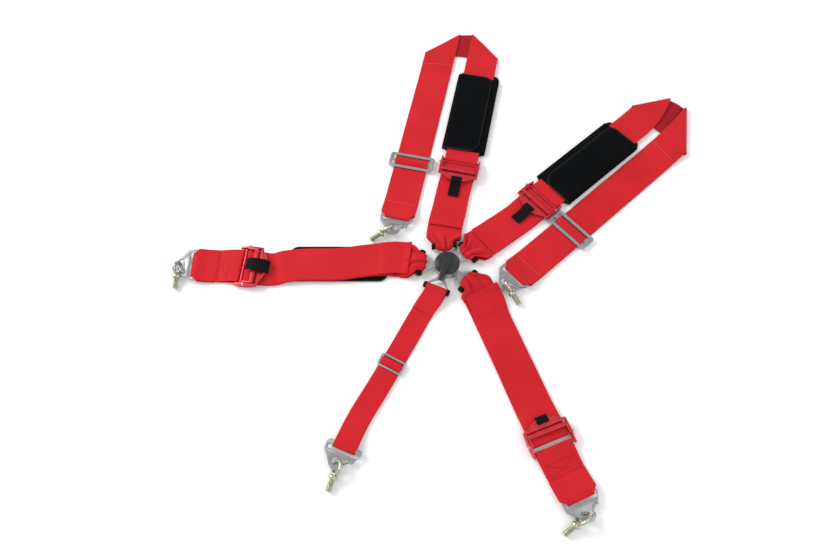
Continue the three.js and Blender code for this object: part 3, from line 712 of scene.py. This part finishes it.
def upper_belt(belt, end, top, rear_top, rear_end, lean, slide_at, front_tip, rear_tip, rise):
    point, away = end
    start = point + away * ADJUSTER["outer"]
    front = Route([start, start + away * 22, top])
    rear = Route([rear_top, rear_end])
    length, rear_length = front.length, rear.length
    leg_z = SECOND - 0.1
    shear = 42.0
    pad_z = OVER_PAD - 0.6
    leg = rows_on(front, [(58, OVER_PAD), (18, OVER_PAD - 0.2)] + round_bar(0, 8, 3, 270, 90, 9)
                  + [(14, 11.4), (26, 9.6), (64, 9.6), (84, OVER_PAD), (length - shear - 14, OVER_PAD),
                     (length - shear, pad_z)], taper(0, WIDE, 1, WIDE))
    back_leg = rows_on(rear, [(shear, leg_z), (60, LAYER)] + over_slide(slide_at, REAR_SLIDE, LAYER, SECOND)
                       + hook_loop(rear_length, slide_at + 26), hook_end(rear_length))
    half = WIDE / 2 * lean

    t = np.linspace(0, 1, 22)[1:]
    fold_z = leg_z + rise

    def slanted(route, start, way, tip, from_z, t):
        """Rows that swing from square across a leg, at t = 0, to the slant of the fold, at t = 1."""
        tip_s = start + way * (shear + tip[0]) * t
        corner_s = start + way * (shear - 2) * t
        sides = [route.edge(tip_s, half + (tip[1] - half) * t ** 2), route.edge(corner_s, -half)]
        left, right = sides if lean > 0 else sides[::-1]
        return {"left": left, "right": right, "z": from_z + (fold_z - from_z) * smoothstep(t, 0, 1),
                "s": (tip_s + corner_s) / 2}

    to_fold = slanted(front, length - shear, 1, front_tip, pad_z, t)
    from_fold = slanted(rear, shear, -1, rear_tip, leg_z, t[::-1])

    def crease(row, toward, z_from, z_to):
        """Half turn of the webbing over a slanted crease; `toward` is the way out of the fold."""
        line = row["right"] - row["left"]
        out = np.array([-line[1], line[0]]) / np.linalg.norm(line)
        out *= 1.0 if out @ toward > 0 else -1.0
        turn = np.linspace(0, math.pi, 13)[1:-1]
        radius = abs(z_from - z_to) / 2
        shift = out * (radius * np.sin(turn))[:, None]
        z = (z_from + z_to) / 2 + (z_from - z_to) / 2 * np.cos(turn)
        return {"left": row["left"] + shift, "right": row["right"] + shift, "z": z,
                "s": np.full(len(turn), row["s"])}

    front_row = {key: value[-1] for key, value in to_fold.items()}
    rear_row = {key: value[0] for key, value in from_fold.items()}
    front_out = front.at(length)[1]
    rear_out = -rear.at(0.0)[1]
    m = np.linspace(0, 1, 26)
    low = LAYER + 0.1
    middle = {"left": front_row["left"] + (rear_row["left"] - front_row["left"]) * m[:, None],
              "right": front_row["right"] + (rear_row["right"] - front_row["right"]) * m[:, None],
              "z": low + 0.45 * rise * np.sin(math.pi * m) ** 2, "s": np.full(len(m), length)}
    rows = chain(leg, to_fold, crease(front_row, front_out, fold_z, low), middle,
                 crease(rear_row, rear_out, low, fold_z), from_fold, back_leg)
    node = f"{belt}_upper_belt"
    hook_back = rear_length - slide_at - 26
    piece = strap(f"{belt}_upper_webbing", rows, BODY_OF[node], [node],
                  sewn=[cross_stitch(-hook_back - 46), cross_stitch(-hook_back - rear_length + 28)])
    # The back of the webbing gets a darker red, a painted shade: it shows in the middle of the folded top.
    piece.data.materials.append(RED_WEB_BACK_PAINTED_SHADE)
    ring = 2 * (COLUMNS + 2 * (len(RIM) - 1))
    face = np.arange((len(rows["z"]) - 1) * ring)
    painted_shade_slots = np.zeros(len(piece.data.polygons), np.int32)
    painted_shade_slots[:len(face)] = face % ring > ring // 2
    piece.data.polygons.foreach_set("material_index", painted_shade_slots)
    return front, rear


def lap_belt(belt, points, anchor_at, low, high, phase, hem, aside):
    route = tongue_route(belt, points)
    path = adjusted_path(route.length, low, high)
    rows = rows_on(route, hemmed(path, hem), drawn_in(belt))
    # The loose tail lies a little to one side of the layer below it.
    tail = np.arange(len(rows["s"])) > np.argmax(rows["s"])
    move = aside * (1 - smoothstep(rows["s"], 40, 120)) * tail
    sideways = (rows["left"] - rows["right"]) / np.linalg.norm(rows["left"] - rows["right"], axis=1)[:, None]
    for edge in ("left", "right"):
        rows[edge] = rows[edge] + sideways * move[:, None]
    body = BODY_OF[f"{belt}_belt"]
    strap(f"{belt}_webbing", rows, body, [f"{belt}_belt"], gather=gather_folds(belt, phase),
          sewn=[cross_stitch(-2 * hem + 2)])
    point, away = route.at(route.length)
    start = point + away * ADJUSTER["outer"]
    anchor = Route([start, start + away * 22, anchor_at])
    length = anchor.length
    path = ([(44, LAYER + 0.1), (14, 3)] + round_bar(0, 8, 3, 270, 90, 9) + [(14, 11), (48, SECOND)]
            + hook_loop(length, 52))
    node = f"{belt}_anchor_strap"
    strap(f"{belt}_anchor_webbing", rows_on(anchor, path, hook_end(length)), body,
          [node], sewn=[cross_stitch(-length - 2)] + box_stitch(82, 112), thread=RED_THREAD)


def straps():
    left_end = lower_belt("shoulder_left", [(-4.5, 82), (-0.5, 108), (8.5, 145), (19.8, 198), (28, 228),
                                            (34.5, 257)], [(66, SECOND), (52, 6.4)], 0.1, 42)
    right_end = lower_belt("shoulder_right", [(78, 60), (104, 80), (149.5, 114.5), (171, 132), (213, 168.6)],
                           [(72, SECOND), (56, 5.6), (43, 8.5)], 0.45, 48)
    upper_belt("shoulder_left", left_end, (104.3, 600), (-3.5, 606), (-109, 117.5), 1, 340,
               (69, 38), (78, 38), 0.0)
    upper_belt("shoulder_right", right_end, (486, 409), (538, 327), (141.2, -25.9), -1, 352,
               (85, -8), (107, -48), 4.5)
    lap_belt("lap_left", [(-90, 14.8), (-108, 17), (-165, 16), (-229, 7), (-315, 5), (-345, 1.5), (-380, -4),
                          (-425, 0)], (-547, 3.9),
             [(52, LAYER + 0.6), (70, OVER_PAD), (292, OVER_PAD), (312, 2)],
             [(312, 5.4), (294, ABOVE_PAD), (40, ABOVE_PAD + 1), (24, 13.6)], 0.7, 57, -5)
    lap_belt("lap_right", [(74, -75), (92.6, -121), (126.6, -208), (158, -291), (188.5, -369)],
             (236.9, -482.8), [(60, LAYER), (300, LAYER)],
             [(300, SECOND), (78, SECOND), (43, 8.6), (33, 11.2)], 0.25, 48, 6)
    route = tongue_route("crotch", [(-49, -95.5), (-85.8, -163), (-141, -264), (-180, -333), (-205, -392.6)])
    slide_at = 190
    path = ([(58, SECOND)] + TONGUE_LOOP[::-1] + [(64, LAYER)]
            + over_slide(slide_at, CROTCH_SLIDE, LAYER, SECOND) + hook_loop(route.length, slide_at + 18))
    strap("crotch_webbing", rows_on(route, path, taper(0, NARROW, 1, NARROW)), "crotch_belt",
          ["crotch_belt"], columns=16)


# ---- metal and plastic ----------------------------------------------------------------------
def hardware():
    machined("buckle_back_plate", 0.7, TURNED)
    machined("buckle_housing", 0.6, TURNED)
    machined("latch_plate", 0.3, STEEL)
    machined("knob_spring", 0.02, STEEL, 1)
    for belt in BELTS:
        machined(f"tongue_{belt}", 0.7, STEEL, 3)
        machined(f"hook_plate_{belt}", 0.7, ZINC, 3)
        machined(f"hook_gate_{belt}", 0.4, ZINC)
    for node in ("rear_slide_shoulder_left", "rear_slide_shoulder_right"):
        machined(node, 1.1, SLIDE_STEEL, 3)
    machined("crotch_slide", 0.8, SLIDE_STEEL, 3)
    for belt in ADJUSTED:
        machined(f"adjuster_frame_{belt}", 0.7, RED_METAL, 3)
        machined(f"lock_bar_{belt}", 1.0, RED_METAL, 3)


def local_frame(origin, x, z):
    """Matrix of a frame in millimetres from its origin and two of its axes."""
    x, z = Vector(x).normalized(), Vector(z).normalized()
    matrix = Matrix((x, z.cross(x), z)).transposed().to_4x4()
    matrix.translation = origin
    return matrix


def about(matrix, axis):
    """The same frame with its Z axis laid along its own X or Y axis."""
    x, y, z = (Vector(matrix.col[k][:3]) for k in range(3))
    return local_frame(matrix.translation, *((z, x) if axis == "X" else (x, y)))


def joint_place(name):
    return Vector(JOINTS[name]["pos_m"]) / MM


def adjuster_frame(belt):
    """Frame of an adjuster, from its lock bar's pivot: X along the strap, Y across it."""
    across = Vector(JOINTS[f"lock_bar_{belt}_lift"]["axis"])
    up = Vector((0, 0, 1))
    away = across.cross(up)
    pivot = joint_place(f"lock_bar_{belt}_lift")
    return local_frame(pivot - LOCK_PIVOT["away"] * away - LOCK_PIVOT["z"] * up, away, up)


def threaded(start, stop, radius, pitch, depth):
    """Points and faces of a screw thread about Z between two heights, run out at both ends."""
    sides = 30
    heights = np.linspace(start, stop, int((stop - start) / pitch * 6))
    h, a = np.meshgrid(heights, np.arange(sides) * 2 * math.pi / sides, indexing="ij")
    full = smoothstep(h, start, start + pitch) * (1 - smoothstep(h, stop - pitch, stop))
    r = radius - depth * full * (0.5 - 0.5 * np.cos(2 * math.pi * h / pitch - a))
    r -= depth * smoothstep(h, stop - pitch, stop)
    points = np.stack([r * np.cos(a), r * np.sin(a), h], -1).reshape(-1, 3)
    return points, skin(len(heights), sides)


def eye_bolt(belt):
    axis = JOINTS[f"eye_bolt_{belt}_swing"]["axis"]
    shank = Vector(MOUNTS[f"eye_bolt_{belt}_seat"]["axis"])
    eye = local_frame(joint_place(f"eye_bolt_{belt}_swing"), shank, axis)
    turn = np.linspace(0, 2 * math.pi, 57)[:-1]
    ring = EYE["ring_r"] * np.stack([np.cos(turn), np.sin(turn), 0 * turn], -1)
    wire = tube([tuple(p) for p in ring @ np.array(eye.to_3x3()).T + np.array(eye.translation)],
                EYE["wire_r"], 16, closed=True)
    seat = 15.2
    end = seat + 6
    flange = [(8.3, seat), (EYE["flange_r"], seat + 0.7), (EYE["flange_r"], end - 0.6), (8.5, end)]
    collar = lathe([(0, 11.0), (4.6, 11.2), (4.9, 13.4), (6.8, 14.6)] + flange
                   + [(5.0, end), (5.0, end + 0.8), (0, end + 0.8)], 40)
    thread = threaded(end - 0.4, end + EYE["shank_long"], EYE["shank_r"], 1.27, 0.62)
    along = about(eye, "X")
    fitting(f"eye_bolt_{belt}_forging", [wire, placed(collar, along), placed(thread, along)], YELLOW_ZINC,
            BODY_OF[f"eye_bolt_{belt}"], f"eye_bolt_{belt}", sharp=50)


def small_hardware():
    """Rivets of the gates, guides at the tongues, and the adjusters' cross pin ends and rods."""
    rivet = [(0, 0), (3.3, 0), (3.5, 0.4), (3.1, 1.0), (2.2, 1.5), (1.1, 1.75), (0, 1.8)]
    for belt in BELTS:
        body = BODY_OF[f"hook_plate_{belt}"]
        centre = joint_place(f"hook_gate_{belt}_open")
        head = local_frame((centre.x, centre.y, 11.7), (1, 0, 0), (0, 0, 1))
        foot = local_frame((centre.x, centre.y, 9.2), (1, 0, 0), (0, 0, -1))
        fitting(f"hook_rivet_{belt}", [placed(lathe(rivet, 28), m) for m in (head, foot)], ZINC, body)

        heading = math.radians(BELTS[belt]["heading"])
        away = Vector((math.cos(heading), math.sin(heading), 0))
        bar = local_frame(away * BELTS[belt]["reach"] + Vector((0, 0, BAR_Z)), away, (0, 0, 1))
        end = BELTS[belt]["span"] / 2 + 0.4
        bead = [(0, 0), (5.4, 0.1), (6.6, 0.9), (7.2, 3.0), (7.2, 6.4), (TONGUE["guide_r"] - 0.3, 8.8)]
        guide = ([(r, h - end) for r, h in bead] + [(r, end - h) for r, h in reversed(bead)])
        fitting(f"webbing_guide_{belt}_moulding", [placed(lathe(guide, 32), about(bar, "Y"))], BLACK_PLASTIC,
                BODY_OF[f"webbing_guide_{belt}"], f"webbing_guide_{belt}", sharp=50)

    stub = lathe([(0, 44.4), (2.2, 44.4), (2.2, 47.6), (1.4, 48.3), (0, 48.4)], 20)
    half = ADJUSTER["wide"] / 2 - ADJUSTER["flange"] + 0.5
    rod = lathe([(0, -half), (ROD["r"], -half), (ROD["r"], half), (0, half)], 28)
    for belt in ADJUSTED:
        frame_body = BODY_OF[f"adjuster_frame_{belt}"]
        place = adjuster_frame(belt)
        across, up = place.col[1].to_3d(), (0, 0, 1)
        pivot = joint_place(f"lock_bar_{belt}_lift")
        ends = [placed(stub, local_frame(pivot, up, turn * across)) for turn in (1, -1)]
        fitting(f"adjuster_pin_{belt}", ends, SLIDE_STEEL, frame_body)
        if belt != "lap_right":
            middle = place @ Vector((ROD["away"], 0, ROD["z"]))
            fitting(f"adjuster_rod_{belt}", [placed(rod, local_frame(middle, up, across))], RED_METAL,
                    frame_body, sharp=50)


def release_knob():
    under, top, edge = BUCKLE["under"], BUCKLE["top"], BUCKLE["knob_r"]
    crown = [(r, top - 0.5 - 1.2 * (r / 22.0) ** 2) for r in np.linspace(22.5, 0, 46)]
    profile = ([(0, 19.9), (BUCKLE["shaft_r"], 19.9), (BUCKLE["shaft_r"], 26.6), (12, 26.6), (12, under),
                (edge - 1.2, under), (edge - 0.3, under + 0.4), (edge, under + 1.4), (edge, top - 5.4),
                (edge - 0.4, top - 4.2), (edge - 1.6, top - 2.9), (23.4, top - 2.0)] + crown)
    points, faces = lathe(profile, 120)
    lever = math.radians(LEVER_HEADING)
    shaped = []
    for x, y, z in points:
        r = math.hypot(x, y)
        off = abs((math.degrees(math.atan2(y, x) - lever) + 180) % 360 - 180)
        if z > top - 2.4 and r < 22.6:
            ring = smoothstep(r, 19.6, 20.2) * (1 - smoothstep(r, 20.8, 21.4))
            sector = smoothstep(r, 9.0, 9.8) * (1 - smoothstep(r, 17.2, 18.0))
            spoke = smoothstep(abs((off - 12) % 56 - 28), 20, 24)
            z -= 0.55 * float(ring) + 0.75 * float(sector * (1 - spoke) * smoothstep(off, 34, 40))
        shaped.append((x, y, z))
    stations = [(-7, 5.0, 33.2), (-4, 7.6, 34.2), (4, 8.6, 35.2), (14, 8.0, 35.9), (22, 7.0, 36.0),
                (28, 6.2, 35.7), (36, 5.4, 35.0), (41, 4.6, 34.4), (44, 3.3, 33.6), (45, 1.8, 32.6)]

    def arm(rows, grow, low):
        out = []
        for s, w, z in rows:
            w += grow
            z += grow
            side = [(w, low), (w, z - 2.6), (w * 0.86, z - 0.9), (w * 0.55, z - 0.15), (0, z)]
            ring = side + [(-y, h) for y, h in reversed(side[:-1])]
            out += [(s * math.cos(lever) - y * math.sin(lever), s * math.sin(lever) + y * math.cos(lever), h)
                    for y, h in ring]
        return out, skin(len(rows), len(ring))

    def smooth_rows(rows, count):
        table = np.array(rows)
        s = np.linspace(table[0, 0], table[-1, 0], count)
        return np.column_stack([s, interpolate(s, table[:, 0], table[:, 1:])]).tolist()

    fitting("release_knob_moulding", [(shaped, faces), arm(smooth_rows(stations, 40), 0, 29.4)],
            KNOB_PLASTIC, "release_knob", "release_knob", 40)
    tip = [row for row in smooth_rows(stations, 53) if row[0] > 40.5]
    fitting("release_lever_tip", [arm(tip, 0.22, 29.2)], RED_PLASTIC, "release_knob",
            sharp=50)


def pull_loops():
    back = ADJUSTER["back"]
    hanging = [(back - 4.4, 18.6), (back - 16.6, 18.4), (back - 18.4, 16), (back - 24, 10.5),
               (back - 52, 8.2)]
    folded = [(back - 10, 12), (back - 16.5, 12), (back - 18.8, 14), (back - 18, 18), (back - 12, 23),
              (-24, 27.6), (-12, 28.4), (-3, 26), (1, 23.5)]
    rolled = [(back - 4.4, 18.6), (back - 16.6, 18.4), (back - 18.6, 16), (back - 18.6, 13.4),
              (back - 16.5, 12), (back - 10, 12)]
    for belt, path, wide in (("shoulder_left", hanging, 24), ("shoulder_right", hanging, 24),
                             ("lap_left", folded, 27), ("lap_right", rolled, 24)):
        place = adjuster_frame(belt)
        origin, along = (np.array(v[:2]) for v in (place.translation, place.col[0]))
        rows = rows_on(Route([origin, origin + along * 10]), path, taper(0, wide, 1, wide))
        sewn = [] if path is rolled else [[(-5, 0.12), (-5, 0.88)], [(-14, 0.12), (-14, 0.88)]]
        strap(f"pull_loop_{belt}_tape", rows, BODY_OF[f"pull_loop_{belt}"], [f"pull_loop_{belt}"], BLACK_WEB,
              columns=10, sewn=sewn, thread=DARK_THREAD)


# ---- pads -----------------------------------------------------------------------------------
class Panel:
    """A padded panel: a section across it, drawn out along local X, with rounded corners.

    The radii are those of both corners where the section starts, then of the two where it ends."""

    def __init__(self, place, section, x0, x1, radii):
        self.turn, self.origin = np.array(place.to_3x3()), np.array(place.translation)
        self.curve = softened(section, 2.0)
        self.run = distances(self.curve)
        self.x0, self.x1, self.radii, self.long = x0, x1, radii, self.run[-1]

    def inset(self, t, corner):
        """How far a rounded corner at the far side, and the near corners, cut in from an end."""
        out = np.zeros_like(t)
        for radius, depth in ((self.radii[0], self.radii[0] - t), (corner, t - self.long + corner)):
            d = np.clip(depth, 0, radius)
            out += radius - np.sqrt(np.maximum(radius**2 - d**2, 0))
        return out

    def world(self, x, t, lift=0.0):
        """Points at distances x along the panel and t round its section."""
        yz = interpolate(t, self.run, self.curve)
        ahead = interpolate(t + 1, self.run, self.curve) - interpolate(t - 1, self.run, self.curve)
        dy, dz = ahead[..., 0], ahead[..., 1]
        up = lift * np.sign(dy) / np.maximum(np.hypot(dy, dz), 1e-6)
        local = np.stack([x, yz[..., 0] - up * dz, yz[..., 1] + up * dy], -1)
        return local @ self.turn.T + self.origin

    def mesh(self, name, thick, columns=60, rows=34):
        wide = self.x1 - self.x0
        t = with_rims(self.long, rows, thick)
        u = with_rims(wide, columns, thick)
        start, stop = (self.inset(t, corner) for corner in self.radii[1:])
        x = self.x0 + start[:, None] + (wide - start - stop)[:, None] * u[None, :] / wide
        surface = self.world(x, np.repeat(t[:, None], len(u), 1))
        normal = np.cross(np.gradient(surface, axis=1), np.gradient(surface, axis=0))
        normal /= np.maximum(np.linalg.norm(normal, axis=-1), 1e-9)[..., None]
        return strap_mesh(name, surface, normal, u, t, thick)

    def outline(self, inset, closed, step=2.5):
        """Close points along the edge, `inset` inside it; an open one leaves out the side at t = 0."""
        x0, x1, t0, t1 = self.x0 + inset, self.x1 - inset, inset if closed else 0.0, self.long - inset
        near, low, high = (max(r - inset, 1.0) for r in self.radii)

        def corner(cx, ct, r, start):
            turn = np.radians(np.linspace(start, start + 90, 9))
            return [(cx + r * math.cos(a), ct + r * math.sin(a)) for a in turn]

        path = corner(x1 - high, t1 - high, high, 0) + corner(x0 + low, t1 - low, low, 90)
        if closed:
            path += corner(x0 + near, t0 + near, near, 180) + corner(x1 - near, t0 + near, near, 270)
            path.append(path[0])
        else:
            path = [(x1, t0)] + path + [(x0, t0)]
        path = np.array(path)
        run = distances(path)
        even = np.linspace(0, run[-1], int(run[-1] / step))
        if closed:
            even = even[:-1]
        return interpolate(even, run, path).T


def coordinates(mesh):
    out = np.empty(len(mesh.vertices) * 3)
    mesh.vertices.foreach_get("co", out)
    return out.reshape(-1, 3)


def swollen(mesh, cap):
    """Padded fabric from a thin panel: remeshed, blown up a little as cloth, then subdivided once."""
    scene = bpy.context.scene
    work = bpy.data.objects.new("swelling", mesh)
    scene.collection.objects.link(work)

    def applied():
        bpy.context.view_layer.update()
        result = bpy.data.meshes.new_from_object(work.evaluated_get(bpy.context.evaluated_depsgraph_get()))
        work.modifiers.clear()
        work.data = result

    remesh = work.modifiers.new("remesh", "REMESH")
    remesh.mode = "VOXEL"
    remesh.voxel_size = 2.4 * MM
    applied()
    points = coordinates(work.data)
    cloth = work.modifiers.new("cloth", "CLOTH")
    cloth.settings.use_pressure = True
    cloth.settings.uniform_pressure_force = 4
    cloth.settings.effector_weights.gravity = 0
    cloth.point_cache.frame_start, cloth.point_cache.frame_end = 1, 20
    for number in range(1, 21):
        scene.frame_set(number)
    blown = work.evaluated_get(bpy.context.evaluated_depsgraph_get())
    moved = coordinates(blown.data) - points
    far = np.linalg.norm(moved, axis=1)[:, None]
    points = points + moved * np.minimum(1, cap * MM / np.maximum(far, 1e-9))
    work.modifiers.clear()
    scene.frame_set(1)
    points[:, 2] = np.maximum(points[:, 2], 0.1 * MM)
    work.data.vertices.foreach_set("co", points.ravel())
    work.data.update()
    finer = work.modifiers.new("finer", "SUBSURF")
    finer.levels = 1
    applied()
    mesh = work.data
    bpy.data.objects.remove(work)
    return mesh


def pad_panel(name, panel, thick, cap, body, node, edge_r, closed, seam):
    """One padded panel with its bound edge and a seam a little way in."""
    piece = finish_piece(name, swollen(panel.mesh(f"{name}_shell", thick), cap), PAD_FABRIC, body,
                         node, sharp=80)
    x, t = panel.outline(edge_r * 0.6, closed)
    fitting(f"{name}_binding", [tube(panel.world(x, t), edge_r, 10, closed)], BINDING, body,
            sharp=80)
    x, t = panel.outline(seam, closed, 1.9)
    line = panel.world(x, t, thick / 2 + cap * 0.75)
    dashes = [tube(line[k:k + 2], 0.34, 6) for k in range(0, len(line) - 1, 2)]
    fitting(f"{name}_seam", dashes, DARK_THREAD, body, sharp=80, woven=True)


def shoulder_pad(belt, side, long):
    """Pad wrapped round a strap; side is +1 where its fold is on the left of the strap's way, else -1."""
    body, flap_body = f"{belt}_pad", f"{belt}_pad_flap"
    along = Vector(JOINTS[f"{body}_slide"]["axis"]).normalized()
    up = Vector((0, 0, 1))
    left = up.cross(along)
    origin = (joint_place(f"{flap_body}_open") - FLAP_HINGE["along"] * along
              - side * FLAP_HINGE["side"] * left - FLAP_HINGE["z"] * up)
    place = local_frame(origin, along, up)
    base = Panel(place, [(side * 46, 2.8), (-side * 49, 2.8)], 0, long, (12, 12, 12))
    pad_panel(f"{body}_base_cushion", base, 4.2, 0.5, body, f"{belt}_pad_base", 1.5, True, 6)

    def panel(section, x0, x1, radii, facing=side):
        return Panel(place, [(facing * y, z) for y, z in section], x0, x1, radii)

    flap = panel([(49, 8.8), (48.4, 11.0), (45, 13.1), (38, 14.1), (20, 14.4), (0, 14.5), (-20, 14.3),
                  (-29, 13.9), (-33.5, 13.4)], 2, long - 16, (1, 28, 17))
    pad_panel(f"{body}_flap_cushion", flap, 3.6, 0.8, flap_body, f"{belt}_pad_flap", 1.6, False, 6.5)
    lip = panel([(45, 2.8), (49.4, 4.2), (50.4, 7), (49.4, 9.9), (45.5, 10.6), (6, 10.6)], 3, long - 18,
                (1, 12, 9), -side)
    finish_piece(f"{body}_lip", lip.mesh(f"{body}_lip", 1.6, 60, 26), PAD_FABRIC, body,
                 sharp=80)
    spine = panel([(45, 2.6), (48, 3.2), (50, 5.0), (50.6, 7.0), (50, 9.0), (48.2, 10.4)], 3, long - 17,
                  (1, 1, 1))
    piece = finish_piece(f"{body}_spine", spine.mesh(f"{body}_spine", 2.4, 60, 14), PAD_FABRIC, None,
                         sharp=80)
    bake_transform(piece)


def lap_pad():
    place = local_frame((0, 0, 0), (1, 0, 0), (0, 0, 1))
    panel = Panel(place, [(-31, 2.8), (52, 2.8)], -340, -126, (20, 20, 20))
    pad_panel("lap_pad_cushion", panel, 4.2, 0.5, "buckle", "lap_pad", 1.5, True, 6)


camera()
studio()
straps()
hardware()
small_hardware()
for belt_name in BELTS:
    eye_bolt(belt_name)
release_knob()
pull_loops()
shoulder_pad("shoulder_left", 1, 246)
shoulder_pad("shoulder_right", -1, 252)
lap_pad()

floor = bpy.data.objects.new("floor", bpy.data.meshes.new("floor"))
quarters = ((-1, -1), (1, -1), (1, 1), (-1, 1))
floor_corners = [(x * FLOOR["half"], y * FLOOR["half"], FLOOR["z"]) for x, y in quarters]
floor.data.from_pydata(floor_corners, [], [(0, 1, 2, 3)])
floor.data.materials.append(floor_material())
bpy.context.scene.collection.objects.link(floor)
